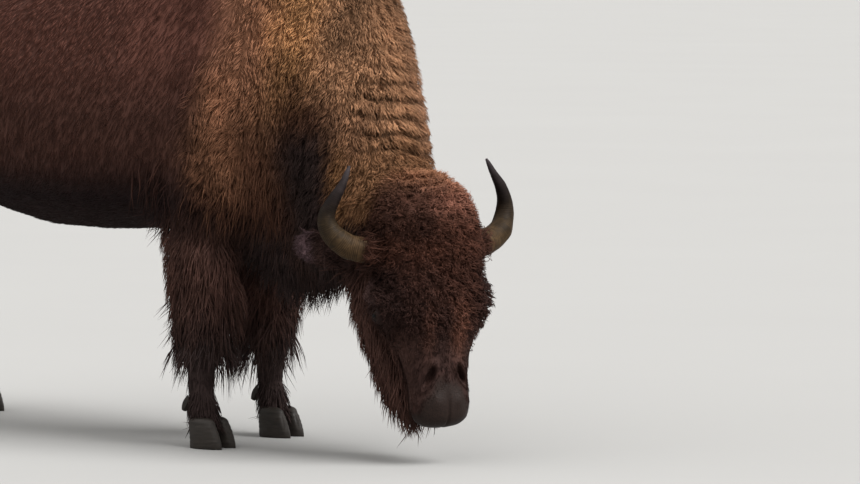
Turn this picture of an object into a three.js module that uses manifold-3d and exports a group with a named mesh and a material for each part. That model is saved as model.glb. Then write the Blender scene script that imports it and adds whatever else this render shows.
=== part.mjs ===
// A life-size american bison cow, standing and grazing with her head lowered and turned a little
// to her right. Every solid reaches out to the tips of the coat. Millimetres, +X forward, +Y to
// the animal's left, +Z up. Most pieces are lofts: oval sections along a path, smoothed by splines.
import * as THREE from "three";
import { mergeVertices } from "three/addons/utils/BufferGeometryUtils.js";
import Module from "manifold-3d";

const wasm = await Module();
wasm.setup();

// Driving dimensions of the standing animal.
const HUMP = 1520;                                   // height of the hump, with its wool
const BELLY = 512;                                   // lowest line of the barrel
const FORE_Y = 150;                                  // half the distance between the fore hooves
const HIND_Y = 135;                                  // half the distance between the hind hooves
const HIND_X = -1010;                                // hind hooves; the fore hooves stand at x = 0
const STEP = { fore: { left: -32, right: 0 }, hind: { left: -30, right: 30 } };  // forward of square
const KNEE = 262;                                    // the forelegs part here, under the long hair
const HOCK = 430;                                    // the hind legs part here
const CUT = { chest: -150, rump: -760 };             // where the trunk is parted
const CLAW = { height: 62, length: 104, width: 47, split: 5 };
const TAIL_ROOT = [-1128, 0, 1090];
const TAIL_LENGTH = 350;                             // down to the tuft
const GAP = 0.4;                                     // clearance between fitted pieces

// The head's frame starts midway between the horn bases and turns as a whole.
const HEAD = { at: [631, -76, 517], turn: -24, nose: 82, tilt: 1.4 };
const EYE = { at: [158, 119, -18], radius: 21 };
const FLARE = { left: 1.06, right: 1 };              // the left horn opens a little wider

// Coat and horn colours.
const coat = (color, roughness = 0.95) => new THREE.MeshStandardMaterial({ color, roughness, metalness: 0 });
const LOOK = {
  wool: coat(0x7a5437),
  flank: coat(0x45291f),
  crown: coat(0x4a2a1c),
  face: coat(0x2e1b15),
  shade: coat(0x241713),
  horn: new THREE.MeshStandardMaterial({ color: 0x5b5044, roughness: 0.5, metalness: 0 }),
  hoof: new THREE.MeshStandardMaterial({ color: 0x2c2521, roughness: 0.6, metalness: 0 }),
  eye: new THREE.MeshStandardMaterial({ color: 0x120b08, roughness: 0.08, metalness: 0 }),
};

const rad = THREE.MathUtils.degToRad;
const vec = (p) => new THREE.Vector3(...p);

// Catmull-Rom through a list of numbers, at a place counted in list steps.
function spline(values, place) {
  const i = Math.min(Math.floor(place), values.length - 2);
  const t = place - i;
  const at = (k) => values[Math.max(0, Math.min(values.length - 1, k))];
  const [a, b, c, d] = [at(i - 1), at(i), at(i + 1), at(i + 2)];
  const bend = (2 * a - 5 * b + 4 * c - d) * t * t + (3 * b - a - 3 * c + d) * t * t * t;
  return (2 * b + (c - a) * t + bend) / 2;
}

// A loft's station: its centre, half width, reach up and down, and how square its upper and lower
// halves are (2 is an ellipse, less is pointed, more is boxy).
const FIELDS = ["x", "y", "z", "w", "up", "down", "top", "keel"];
const station = (x, y, z, w, up, down = up, top = 2, keel = 2) => ({ x, y, z, w, up, down, top, keel });
const round = (x, y, z, r) => station(x, y, z, r, r);

// Lofts stations into one closed solid with domed ends. side is the sections' width direction,
// facing fixes the sections' plane, steps refines the path, and grow thickens the whole piece.
function loft(stations, options) {
  const { sides, steps = 1, side = [0, 1, 0], facing, domes = [0.5, 0.5], grow = 0 } = options;
  const count = (stations.length - 1) * steps;
  const rings = [];
  for (let n = 0; n <= count; n++) {
    const ring = {};
    for (const f of FIELDS) ring[f] = spline(stations.map((s) => s[f]), n / steps);
    rings.push(ring);
  }
  const centre = (r) => vec([r.x, r.y, r.z]);
  const frames = rings.map((r, n) => {
    const along = facing
      ? vec(facing)
      : centre(rings[Math.min(n + 1, count)]).sub(centre(rings[Math.max(n - 1, 0)])).normalize();
    const across = vec(side).addScaledVector(along, -vec(side).dot(along)).normalize();
    return { along, across, upward: along.clone().cross(across) };
  });
  const points = [];
  const ringAt = (r, f, shrink, shift) => {
    const middle = centre(r).addScaledVector(f.along, shift);
    for (let k = 0; k < sides; k++) {
      const angle = (2 * Math.PI * k) / sides;
      const [s, c] = [Math.sin(angle), Math.cos(angle)];
      const power = 2 / (c > 0 ? r.top : r.keel);
      const reach = (c > 0 ? r.up : r.down) + grow;
      const out = Math.sign(s) * Math.abs(s) ** power * (r.w + grow) * shrink;
      const lift = Math.sign(c) * Math.abs(c) ** power * reach * shrink;
      points.push(middle.clone().addScaledVector(f.across, out).addScaledVector(f.upward, lift));
    }
  };
  // Each end closes with a dome whose depth is a share of its section's smallest half size.
  const domeOf = (r, share) => Math.min(r.w, r.up, r.down) * share + grow;
  const [first, last] = [rings[0], rings[count]];
  const [narrow, rise] = [Math.cos(rad(50)), Math.sin(rad(50))];
  ringAt(first, frames[0], narrow, -rise * domeOf(first, domes[0]));
  rings.forEach((r, n) => ringAt(r, frames[n], 1, 0));
  ringAt(last, frames[count], narrow, rise * domeOf(last, domes[1]));
  const rows = points.length / sides;
  points.push(centre(first).addScaledVector(frames[0].along, -domeOf(first, domes[0])));
  points.push(centre(last).addScaledVector(frames[count].along, domeOf(last, domes[1])));
  const faces = [];
  for (let k = 0; k < sides; k++) {
    const next = (k + 1) % sides;
    for (let n = 0; n + 1 < rows; n++) {
      const [a, b, c, d] = [n * sides + k, n * sides + next, (n + 1) * sides + k, (n + 1) * sides + next];
      faces.push(a, c, b, b, c, d);
    }
    faces.push(points.length - 2, k, next);
    faces.push(points.length - 1, (rows - 1) * sides + next, (rows - 1) * sides + k);
  }
  const geometry = new THREE.BufferGeometry().setFromPoints(points).setIndex(faces);
  return solid(geometry);
}

// A closed three.js geometry as a manifold solid, turned to face outwards.
function solid(geometry) {
  const bare = new THREE.BufferGeometry().setAttribute("position", geometry.getAttribute("position"));
  bare.setIndex(geometry.index);
  const merged = mergeVertices(bare, 1e-3);
  const build = (order) =>
    new wasm.Manifold(
      new wasm.Mesh({ numProp: 3, vertProperties: merged.attributes.position.array, triVerts: order }),
    );
  const order = new Uint32Array(merged.index.array);
  const made = build(order);
  return made.volume() > 0 ? made : build(order.reverse());
}

const union = (...pieces) => pieces.reduce((all, one) => all.add(one));
const box = (low, high) => {
  const size = vec(high).sub(vec(low));
  const middle = vec(low).add(vec(high)).multiplyScalar(0.5);
  return solid(new THREE.BoxGeometry(...size).translate(...middle));
};
// The largest body of a solid, without the slivers that a cut can leave.
const largest = (made) => made.decompose().sort((a, b) => b.volume() - a.volume())[0];
// Stations drawn for the left side, set on either side and shifted forward.
const BOTH = Object.entries({ left: 1, right: -1 });
const set = (stations, sign, step = 0) => stations.map((s) => ({ ...s, x: s.x + step, y: s.y * sign }));

// ---- Trunk: hump, barrel and rump in one loft, with shoulder and thigh masses joined on. ----
function trunkSolid(grow = 0) {
  // Each row: x, height of the widest line, half width, back line, belly line, back's and keel's shape.
  const rows = [
    [-1135, 960, 110, 1080, 800, 2.1, 2.0],
    [-1090, 950, 190, 1138, 735, 2.2, 2.0],
    [-1010, 930, 238, 1186, 680, 2.2, 2.0],
    [-880, 900, 266, 1220, 606, 2.1, 2.0],
    [-735, 870, 284, 1240, BELLY + 28, 1.95, 2.1],
    [-570, 840, 304, 1268, BELLY - 4, 1.85, 2.1],
    [-390, 820, 312, 1330, BELLY - 6, 1.75, 2.2],
    [-210, 810, 300, 1420, BELLY + 4, 1.65, 2.2],
    [-60, 815, 284, 1492, BELLY - 2, 1.55, 2.1],
    [60, 830, 272, HUMP, BELLY - 22, 1.5, 2.0],
    [170, 850, 258, 1492, BELLY - 50, 1.55, 1.8],
    [270, 860, 232, 1412, BELLY - 64, 1.7, 1.7],
    [350, 860, 186, 1290, BELLY - 10, 1.8, 1.7],
    [400, 870, 120, 1150, 640, 2.0, 2.0],
  ];
  const stations = rows.map(([x, z, w, back, belly, top, keel]) =>
    station(x, 0, z, w, back - z, z - belly, top, keel),
  );
  let trunk = loft(stations, { sides: 24, facing: [1, 0, 0], domes: [0.5, 0.4], grow });
  for (const [name, sign] of BOTH) {
    const shoulder = [
      station(118, 100, 1210, 60, 110),
      station(108, 144, 1090, 98, 170),
      station(88, 168, 930, 112, 198),
      station(62, 170, 790, 112, 190),
      station(32, 165, 670, 104, 158),
      station(10, 158, 575, 92, 128),
    ];
    const thigh = [
      station(-925, 92, 1100, 70, 100),
      station(-928, 130, 1010, 116, 168),
      station(-936, 142, 890, 128, 184),
      station(-954, 144, 770, 116, 172),
      station(-980, 140, 660, 94, 138),
    ];
    trunk = trunk.add(loft(set(shoulder, sign, STEP.fore[name]), { sides: 14, grow }));
    trunk = trunk.add(loft(set(thigh, sign, STEP.hind[name]), { sides: 14, grow }));
  }
  return trunk;
}

// ---- Neck, hanging from the hump to the poll, with the mane and the brisket's fringe. ----
function neckSolid(grow = 0) {
  const neck = loft(
    [
      station(95, 0, 1075, 228, 338, 300, 1.8, 2),
      station(180, 0, 1000, 232, 322, 330, 1.8, 1.9),
      station(285, -4, 890, 212, 266, 350, 1.8, 1.8),
      station(385, -18, 765, 182, 196, 335, 1.85, 1.75),
      station(462, -40, 655, 158, 142, 300, 2.0, 1.75),
      station(525, -58, 560, 142, 112, 260, 2.0, 1.8),
    ],
    { sides: 20, steps: 2, domes: [0.3, 0.4], grow },
  );
  const brisket = loft(
    [
      station(60, 0, 560, 120, 90, 110),
      station(150, 0, 540, 136, 120, 172, 2, 1.7),
      station(245, -8, 545, 130, 120, 180, 2, 1.6),
      station(345, -20, 560, 118, 120, 165, 2, 1.7),
      station(430, -34, 570, 100, 100, 150, 2, 1.8),
    ],
    { sides: 14, facing: [1, 0, 0], domes: [0.6, 0.6], grow },
  );
  return neck.add(brisket);
}

// ---- Head, in its own frame: +X towards the nose, +Z out of the forehead, +Y to its left. ----
const headFrame = new THREE.Matrix4()
  .makeTranslation(...HEAD.at)
  .multiply(new THREE.Matrix4().makeRotationZ(rad(HEAD.turn)))
  .multiply(new THREE.Matrix4().makeRotationY(rad(HEAD.nose)))
  .multiply(new THREE.Matrix4().makeRotationZ(rad(HEAD.tilt)));
const placed = (made) => made.transform(headFrame.elements);

function headSolid(grow = 0) {
  // Crown of wool, brow, face and muzzle.
  const skull = loft(
    [
      station(-150, 0, 0, 108, 66, 92),
      station(-110, 0, 0, 136, 98, 125, 2.1),
      station(-50, 0, 0, 149, 116, 140, 2.2),
      station(20, 0, 0, 153, 120, 140, 2.2),
      station(90, 0, 0, 150, 108, 125, 2.2),
      station(150, 0, 0, 146, 92, 105, 2.2),
      station(205, 0, 0, 114, 78, 88, 2.1),
      station(265, 0, 0, 89, 64, 72, 2.1),
      station(325, 0, 0, 78, 58, 58, 2.2),
      station(378, 0, 0, 76, 56, 50, 2.3, 2.3),
      station(414, 0, 0, 70, 48, 44, 2.3, 2.3),
    ],
    { sides: 22, domes: [0.55, 0.5], facing: [1, 0, 0], grow },
  );
  return placed(skull);
}

function jawSolid(grow = 0) {
  const jaw = loft(
    [
      station(-30, 0, -124, 116, 84, 90),
      station(45, 0, -132, 130, 88, 104),
      station(120, 0, -124, 127, 84, 106),
      station(190, 0, -106, 110, 66, 100),
      station(260, 0, -88, 90, 54, 88),
      station(330, 0, -74, 70, 44, 68),
      station(392, 0, -62, 54, 34, 46),
    ],
    { sides: 16, domes: [0.5, 0.6], facing: [1, 0, 0], grow },
  );
  return placed(jaw);
}

function beardSolid(grow = 0) {
  const beard = loft(
    [
      station(30, 0, -196, 100, 70, 80, 2, 1.9),
      station(110, 0, -202, 108, 72, 90, 2, 1.8),
      station(190, 0, -192, 101, 72, 90, 2, 1.8),
      station(270, 0, -174, 90, 70, 84, 2, 1.8),
      station(335, 0, -158, 77, 62, 72, 2, 1.8),
      station(384, 0, -146, 58, 48, 54, 2, 1.8),
      station(408, 0, -140, 34, 30, 34),
    ],
    { sides: 16, domes: [0.5, 0.6], facing: [1, 0, 0], grow },
  );
  return placed(beard);
}

function hornSolid(sign, grow = 0) {
  // Out, back and up in a hook: place in the head's frame and radius, from the wool to the tip.
  const flare = sign > 0 ? FLARE.left : FLARE.right;
  const horn = [
    [8, 115, -8, 31],
    [0, 165, -18, 29.5],
    [-9, 190, -31, 28.5],
    [-28, 214, -32, 26.5],
    [-45, 225, -44, 24],
    [-68, 233, -45, 21.5],
    [-92, 233, -40, 18],
    [-110, 225, -28, 15.5],
    [-135, 212, -16, 12.8],
    [-156, 198, -11, 9.5],
    [-180, 186, -9, 6],
    [-189, 182, -8.5, 3.5],
  ].map(([x, y, z, r]) => round(x, y * sign * flare, z, r));
  return placed(loft(horn, { sides: 10, side: [0, 0, 1], domes: [0.3, 1.2], grow }));
}

function earSolid(sign, grow = 0) {
  const ear = [
    station(16, 116 * sign, -104, 20, 20),
    station(16, 146 * sign, -132, 31, 20, 14),
    station(14, 176 * sign, -160, 38, 18, 11),
    station(12, 200 * sign, -186, 35, 14, 9),
    station(8, 216 * sign, -208, 17, 8),
  ];
  return placed(loft(ear, { sides: 10, side: [1, 0, 0], domes: [0.5, 0.8], grow }));
}

const eyeAt = (sign) => vec([EYE.at[0], EYE.at[1] * sign, EYE.at[2]]).applyMatrix4(headFrame);
const ball = (centre, radius) => solid(new THREE.SphereGeometry(radius, 12, 9).translate(...centre));
// The gap between the lids, an almond-ended cone that opens outwards through the coat.
function lidOpening(sign) {
  const inner = EYE.at[1] + 4;
  const opening = [
    station(EYE.at[0], inner * sign, EYE.at[2], 19, 12, 12),
    station(EYE.at[0], (inner + 46) * sign, EYE.at[2] + 8, 34, 26, 26),
  ];
  return placed(loft(opening, { sides: 10, side: [1, 0, 0], domes: [0.5, 0.1] }));
}

// ---- Legs, from the elbow and stifle down. Sections: w across, up forwards, down backwards. ----
const FORELEG = [
  station(-6, 158, 640, 92, 112, 96),
  station(-8, 156, 560, 92, 112, 100),
  station(-2, 153, 460, 88, 100, 104),
  station(2, 151, 370, 82, 90, 100),
  station(2, FORE_Y, 300, 74, 78, 90),
  station(0, FORE_Y, 240, 58, 56, 70),
  station(-2, FORE_Y, 190, 36, 36, 44),
  station(-4, FORE_Y, 140, 33, 35, 39),
  station(2, FORE_Y, 100, 34, 34, 38),
  station(10, FORE_Y, 55, 38, 42, 38),
];
const HINDLEG = [
  station(-990, 142, 720, 84, 118, 120),
  station(-1006, 138, 640, 72, 98, 96),
  station(-1034, 136, 560, 55, 70, 66),
  station(-1066, HIND_Y, 488, 45, 56, 48),
  station(-1072, HIND_Y, 430, 40, 48, 44),
  station(-1062, HIND_Y, 350, 34, 38, 40),
  station(-1046, HIND_Y, 250, 31, 33, 34),
  station(-1034, HIND_Y, 160, 33, 35, 40),
  station(-1020, HIND_Y, 105, 34, 35, 38),
  station(-1004, HIND_Y, 55, 38, 42, 38),
];
const legSolid = (stations, sign, step, grow = 0) =>
  loft(set(stations, sign, step), { sides: 12, facing: [0, 0, -1], domes: [0.3, 0.1], grow });

// A claw of the cloven hoof: a flat sole, a sloped front and a rounded outer wall.
function clawSolid(x, y, inner, grow = 0) {
  const half = CLAW.width / 2;
  const middle = y + inner * (half + CLAW.split / 2);
  const claw = [
    station(x + 14, middle, CLAW.height + 8, half - 5, 40, 34),
    station(x + 20, middle, CLAW.height - 14, half - 1, 46, 38),
    station(x + 27, middle, 18, half, CLAW.length / 2 + 2, 45, 1.7),
    station(x + 28, middle, 0, half, CLAW.length / 2 + 4, 46, 1.7),
  ];
  const hoof = loft(claw, { sides: 10, facing: [0, 0, -1], domes: [0.3, 0.4], grow });
  return hoof.subtract(box([x - 200, y - 200, -200], [x + 200, y + 200, -grow]));
}

function dewclawSolid(x, y, inner) {
  const claw = [
    round(x - 22, y + inner * 17, 120, 14),
    round(x - 34, y + inner * 19, 108, 14),
    round(x - 42, y + inner * 20, 93, 9),
  ];
  return loft(claw, { sides: 6, domes: [0.5, 0.7] });
}

function tailSolid(grow = 0) {
  const [x, y, z] = TAIL_ROOT;
  return loft(
    [
      station(x + 40, y, z + 18, 40, 34),
      station(x - 18, y + 2, z + 4, 37, 31),
      station(x - 54, y + 6, z - 70, 30, 26),
      station(x - 64, y + 10, z - 170, 24, 22),
      station(x - 62, y + 13, z - 280, 20, 20),
      station(x - 58, y + 14, z - TAIL_LENGTH, 20, 20),
    ],
    { sides: 10, domes: [0.3, 0.4], grow },
  );
}

function tuftSolid() {
  const [x, y, z] = TAIL_ROOT;
  return loft(
    [
      station(x - 58, y + 14, z - TAIL_LENGTH + 10, 23, 23),
      station(x - 57, y + 14, z - 400, 34, 32),
      station(x - 56, y + 15, z - 470, 35, 34),
      station(x - 56, y + 15, z - 540, 24, 24),
      station(x - 56, y + 15, z - 590, 7, 7),
    ],
    { sides: 10, domes: [0.3, 0.8] },
  );
}

// ---- Fit the pieces to each other and name them. The head's pieces share one turned group. ----
const bison = new THREE.Group();
const headGroup = new THREE.Group();
headGroup.applyMatrix4(headFrame);
bison.add(headGroup);

// Adds a solid made in the animal's frame to a group, as a mesh of that group's own frame.
function add(group, name, made, look) {
  const mesh = made.getMesh();
  const points = new Float32Array(mesh.numVert * 3);
  for (let i = 0; i < mesh.numVert; i++)
    points.set(mesh.vertProperties.subarray(i * mesh.numProp, i * mesh.numProp + 3), i * 3);
  const geometry = new THREE.BufferGeometry()
    .setAttribute("position", new THREE.BufferAttribute(points, 3))
    .setIndex(new THREE.BufferAttribute(mesh.triVerts, 1));
  group.updateMatrixWorld(true);
  geometry.applyMatrix4(group.matrixWorld.clone().invert());
  geometry.computeVertexNormals();
  const piece = new THREE.Mesh(geometry, look);
  piece.name = name;
  group.add(piece);
}

const far = 3000;
const slab = (low, high) => box([low, -far, -far], [high, far, far]);
const band = (low, high) => box([-far, -far, low], [far, far, high]);

// The trunk is parted behind the shoulder and ahead of the thigh.
const trunk = trunkSolid();
const trunkAround = trunkSolid(GAP);
add(bison, "forequarters", largest(trunk.intersect(slab(CUT.chest + GAP, far))), LOOK.wool);
add(bison, "barrel", largest(trunk.intersect(slab(CUT.rump + GAP, CUT.chest))), LOOK.flank);
const rump = trunk.intersect(slab(-far, CUT.rump)).subtract(tailSolid(GAP));
add(bison, "hindquarters", largest(rump), LOOK.flank);
add(bison, "tail", largest(tailSolid().intersect(band(TAIL_ROOT[2] - TAIL_LENGTH, far))), LOOK.flank);
add(bison, "tail_tuft", largest(tuftSolid().subtract(tailSolid(GAP))), LOOK.shade);

// The head keeps its coat whole, and the jaw, neck and beard are fitted round it.
const headAround = headSolid(GAP);
const headAndJaw = union(headAround, jawSolid(GAP));
const neckAround = neckSolid(GAP);
let skull = headSolid();
let neck = neckSolid().subtract(trunkAround).subtract(headAndJaw);
for (const [, sign] of BOTH) {
  skull = skull.subtract(ball(eyeAt(sign), EYE.radius + GAP)).subtract(lidOpening(sign));
  neck = neck.subtract(hornSolid(sign, GAP));
}
add(headGroup, "head", largest(skull), LOOK.crown);
add(headGroup, "jaw", largest(jawSolid().subtract(headAround)), LOOK.face);
add(bison, "neck", largest(neck), LOOK.wool);
add(headGroup, "beard", largest(beardSolid().subtract(headAndJaw).subtract(neckAround)), LOOK.shade);
for (const [name, sign] of BOTH) {
  const ear = earSolid(sign).subtract(headAndJaw).subtract(neckAround).subtract(hornSolid(sign, GAP));
  add(headGroup, `horn_${name}`, largest(hornSolid(sign).subtract(headAround)), LOOK.horn);
  add(headGroup, `ear_${name}`, largest(ear), LOOK.shade);
  add(headGroup, `eye_${name}`, ball(eyeAt(sign), EYE.radius), LOOK.eye);
}

// Each leg stands on two claws, and parts at the knee or the hock.
function addLeg(end, name, sign, { stations, x, y, joint, look }) {
  const step = STEP[end][name];
  const foot = [x + step, y * sign];
  const claws = Object.entries({ inner: -sign, outer: sign });
  let leg = legSolid(stations, sign, step).subtract(trunkAround).subtract(neckAround);
  for (const [, inner] of claws) leg = leg.subtract(clawSolid(...foot, inner, GAP));
  leg = largest(leg);
  add(bison, `${end}leg_${name}`, largest(leg.intersect(band(joint + GAP, far))), look);
  add(bison, `cannon_${end}_${name}`, largest(leg.intersect(band(0, joint))), LOOK.shade);
  for (const [where, inner] of claws) {
    const dewclaw = dewclawSolid(...foot, inner).subtract(legSolid(stations, sign, step, GAP));
    add(bison, `hoof_${end}_${name}_${where}`, clawSolid(...foot, inner), LOOK.hoof);
    add(bison, `dewclaw_${end}_${name}_${where}`, largest(dewclaw), LOOK.hoof);
  }
}
for (const [name, sign] of BOTH) {
  addLeg("fore", name, sign, { stations: FORELEG, x: 0, y: FORE_Y, joint: KNEE, look: LOOK.shade });
  addLeg("hind", name, sign, { stations: HINDLEG, x: HIND_X, y: HIND_Y, joint: HOCK, look: LOOK.flank });
}

// The origin lies on the floor, under the middle of the animal's box.
const bounds = new THREE.Box3().setFromObject(bison, true);
const middle = bounds.getCenter(new THREE.Vector3());
bison.position.set(-middle.x, -middle.y, -bounds.min.z);

export default bison;
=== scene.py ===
# An american bison cow, grazing: skin, coat, eyes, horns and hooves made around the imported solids.
import math
import time
import bpy
import numpy as np
from mathutils import Matrix, Vector
from mathutils.bvhtree import BVHTree
from mathutils.kdtree import KDTree


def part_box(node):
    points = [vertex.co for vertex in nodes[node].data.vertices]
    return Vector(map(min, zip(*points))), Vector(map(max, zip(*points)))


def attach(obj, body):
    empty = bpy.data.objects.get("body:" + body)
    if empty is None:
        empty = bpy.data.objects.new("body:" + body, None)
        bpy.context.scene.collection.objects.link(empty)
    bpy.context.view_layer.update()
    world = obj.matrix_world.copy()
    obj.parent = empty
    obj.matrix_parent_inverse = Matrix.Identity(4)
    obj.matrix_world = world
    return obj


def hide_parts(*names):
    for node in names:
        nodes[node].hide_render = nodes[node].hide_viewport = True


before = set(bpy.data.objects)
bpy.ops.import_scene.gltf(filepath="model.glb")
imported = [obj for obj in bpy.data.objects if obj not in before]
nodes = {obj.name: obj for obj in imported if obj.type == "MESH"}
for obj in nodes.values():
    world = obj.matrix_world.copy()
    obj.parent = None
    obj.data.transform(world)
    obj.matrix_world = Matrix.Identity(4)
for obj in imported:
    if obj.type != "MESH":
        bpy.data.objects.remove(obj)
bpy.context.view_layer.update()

started = time.time()
scene = bpy.context.scene
dice = np.random.default_rng(7)


def report(stage):
    print("%6.1f s  %s" % (time.time() - started, stage))


# Places, in metres and degrees. The body is drawn from the line between the fore hooves, the head
# from between its horns.
pose = {
    "hoofAhead": 0.032,  # from that line to the middle of a fore hoof
    "turn": -24, "nose": 82, "tilt": 1.4,
    "eye": (0.158, 0.119, -0.018), "eyeRadius": 0.021,
}
ex, ey, ez = pose["eye"]


def middle(*names):
    return sum((np.array(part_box(n)[0]) + np.array(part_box(n)[1])) / 2 for n in names) / len(names)


hoofLine = np.array([middle("hoof_fore_right_outer")[0] - pose["hoofAhead"], 0, 0])
headTurn = np.array(
    Matrix.Rotation(math.radians(pose["turn"]), 3, "Z")
    @ Matrix.Rotation(math.radians(pose["nose"]), 3, "Y")
    @ Matrix.Rotation(math.radians(pose["tilt"]), 3, "Z")
)
headAt = middle("eye_left", "eye_right") - headTurn @ (ex, 0, ez)


def toHead(points):  # +X to the nose, +Y to the animal's left, +Z out of the forehead
    return (points - headAt) @ headTurn


def fromHead(points):
    return np.asarray(points, float) @ headTurn.T + headAt


def ramp(value, low, high):  # 0 below low, 1 above high, smooth between; low may be the larger
    t = np.clip((value - low) / (high - low), 0, 1)
    return t * t * (3 - 2 * t)


def bump(value, centre, width):  # 1 at the centre, fading out over the width
    return np.exp(-(((value - centre) / width) ** 2))


def unit(v):
    return v / np.maximum(np.linalg.norm(v, axis=-1, keepdims=True), 1e-9)


def wander(points, size, seed):  # smooth made-up unevenness from -1 to 1, with bumps of about that size
    rng = np.random.default_rng(seed)
    waves = unit(rng.normal(size=(7, 3))) * (2 * np.pi / size) * rng.uniform(0.35, 0.9, (7, 1))
    return np.tanh(np.sin(points @ waves.T + rng.uniform(0, 6.28, 7)).sum(axis=1) * 0.5)


# Small helpers around the operators.
def only(*objects):
    bpy.ops.object.select_all(action="DESELECT")
    for o in objects:
        o.select_set(True)
    bpy.context.view_layer.objects.active = objects[0]


def finished(obj, kind, **settings):  # adds a modifier and applies it
    only(obj)
    modifier = obj.modifiers.new(kind.title(), kind)
    for key, value in settings.items():
        setattr(modifier, key, value)
    bpy.ops.object.modifier_apply(modifier=modifier.name)


def readAll(items, key, width=1, kind=np.float32):  # one value of every item, a row for each
    out = np.empty(len(items) * width, kind)
    items.foreach_get(key, out)
    return out.reshape(-1, width)


def coords(obj):
    return readAll(obj.data.vertices, "co", 3).astype(float)


def setCoords(obj, co):
    obj.data.vertices.foreach_set("co", np.asarray(co, np.float32).ravel())
    obj.data.update()


def normalsOf(obj):
    return readAll(obj.data.vertex_normals, "vector", 3).astype(float)


def edgesOf(obj):
    return readAll(obj.data.edges, "vertices", 2, np.int32)


def spread(values, edges, rounds, keep=0.3):  # evens values out along a mesh's edges
    count = len(values)
    ends = np.concatenate([edges[:, 0], edges[:, 1]])
    others = np.concatenate([edges[:, 1], edges[:, 0]])
    share = 1 / np.maximum(np.bincount(ends, minlength=count), 1)
    out = np.array(values, float)
    for _ in range(rounds):
        for k in range(out.shape[1]):
            around = np.bincount(ends, weights=out[others, k], minlength=count) * share
            out[:, k] = keep * out[:, k] + (1 - keep) * around
    return out


def inEditMode(obj, operator, **settings):  # runs an operator on all of an object's mesh
    only(obj)
    bpy.ops.object.mode_set(mode="EDIT")
    bpy.ops.mesh.select_all(action="SELECT")
    operator(**settings)
    bpy.ops.object.mode_set(mode="OBJECT")


def paintPoints(obj, name, colour):  # a colour for each point, as an attribute
    rgba = np.ones((len(colour), 4), np.float32)
    rgba[:, :3] = colour
    layer = obj.data.attributes.new(name, "FLOAT_COLOR", "POINT")
    layer.data.foreach_set("color", rgba.ravel())


def markPoints(obj, name, values):  # a number for each point, as an attribute
    marks = obj.data.attributes.get(name) or obj.data.attributes.new(name, "FLOAT", "POINT")
    marks.data.foreach_set("value", np.asarray(values, np.float32))


def mergedCopy(name):  # a CAD node's copy, its loose triangles merged
    obj = nodes[name].copy()
    obj.data = obj.data.copy()
    obj.name = name + ".copy"
    for key in list(obj.keys()):
        del obj[key]
    obj.parent = None
    scene.collection.objects.link(obj)
    inEditMode(obj, bpy.ops.mesh.remove_doubles, threshold=1e-5)
    return obj


def joined(objects, name):
    only(*objects)
    bpy.ops.object.join()
    obj = bpy.context.object
    obj.name = obj.data.name = name
    return obj


bpy.ops.object.select_all(action="DESELECT")
report("frame loaded")

# Camera: level with the hump's middle, looking a little down, from the animal's right and ahead.
view = {
    "turn": 38, "back": 11.30, "side": 0.462, "height": 1.265, "down": 3.905,
    "lens": 192.56, "sensor": 36, "farthest": 400,
}
aim = math.radians(view["turn"])
right = np.array([math.cos(aim), math.sin(aim), 0])
ahead = np.array([-math.sin(aim), math.cos(aim), 0])
bpy.ops.object.camera_add(
    location=hoofLine - view["back"] * ahead + view["side"] * right + (0, 0, view["height"]),
    rotation=(math.radians(90 - view["down"]), 0, aim),
)
camera = bpy.context.object
camera.data.lens = view["lens"]
camera.data.sensor_width = view["sensor"]
camera.data.clip_end = view["farthest"]
scene.camera = camera

# Skin: one closed surface inside the flesh nodes, sunk by the depth of the coat.
skinSettings = {
    "voxel": 0.006,
    "fuse": 0.003,  # growth before the remesh, so that neighbours join
    "socket": {"size": (0.048, 0.036, 0.040), "deep": 0.011},  # what fills an eye's socket
    "smoothing": {"trunk": 90, "slim": 30, "slimmest": 8},
    "keep": 0.31,  # share of the faces that the thinning keeps, all of them off the trunk
    "depth": {"wool": 0.030, "flank": 0.007, "crown": 0.026, "jaw": 0.012, "beard": 0.030,
              "ear": 0.002, "tail": 0.003, "tuft": 0.018, "chaps": 0.026, "cannon": 0.004},
    "headDepth": {"face": 0.0035, "crown": 0.0260, "muzzle": 0.0012, "eyelids": 0.002},
}
zoneNodes = {
    "wool": ["forequarters", "neck"],
    "flank": ["barrel", "hindquarters", "hindleg_left", "hindleg_right"],
    "crown": ["head"],
    "jaw": ["jaw"],
    "beard": ["beard"],
    "ear": ["ear_left", "ear_right"],
    "tail": ["tail"],
    "tuft": ["tail_tuft"],
    "chaps": ["foreleg_left", "foreleg_right"],
    "cannon": ["cannon_fore_left", "cannon_fore_right", "cannon_hind_left", "cannon_hind_right"],
}
zoneNames = list(zoneNodes)
fleshNodes = [n for names in zoneNodes.values() for n in names]


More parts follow.
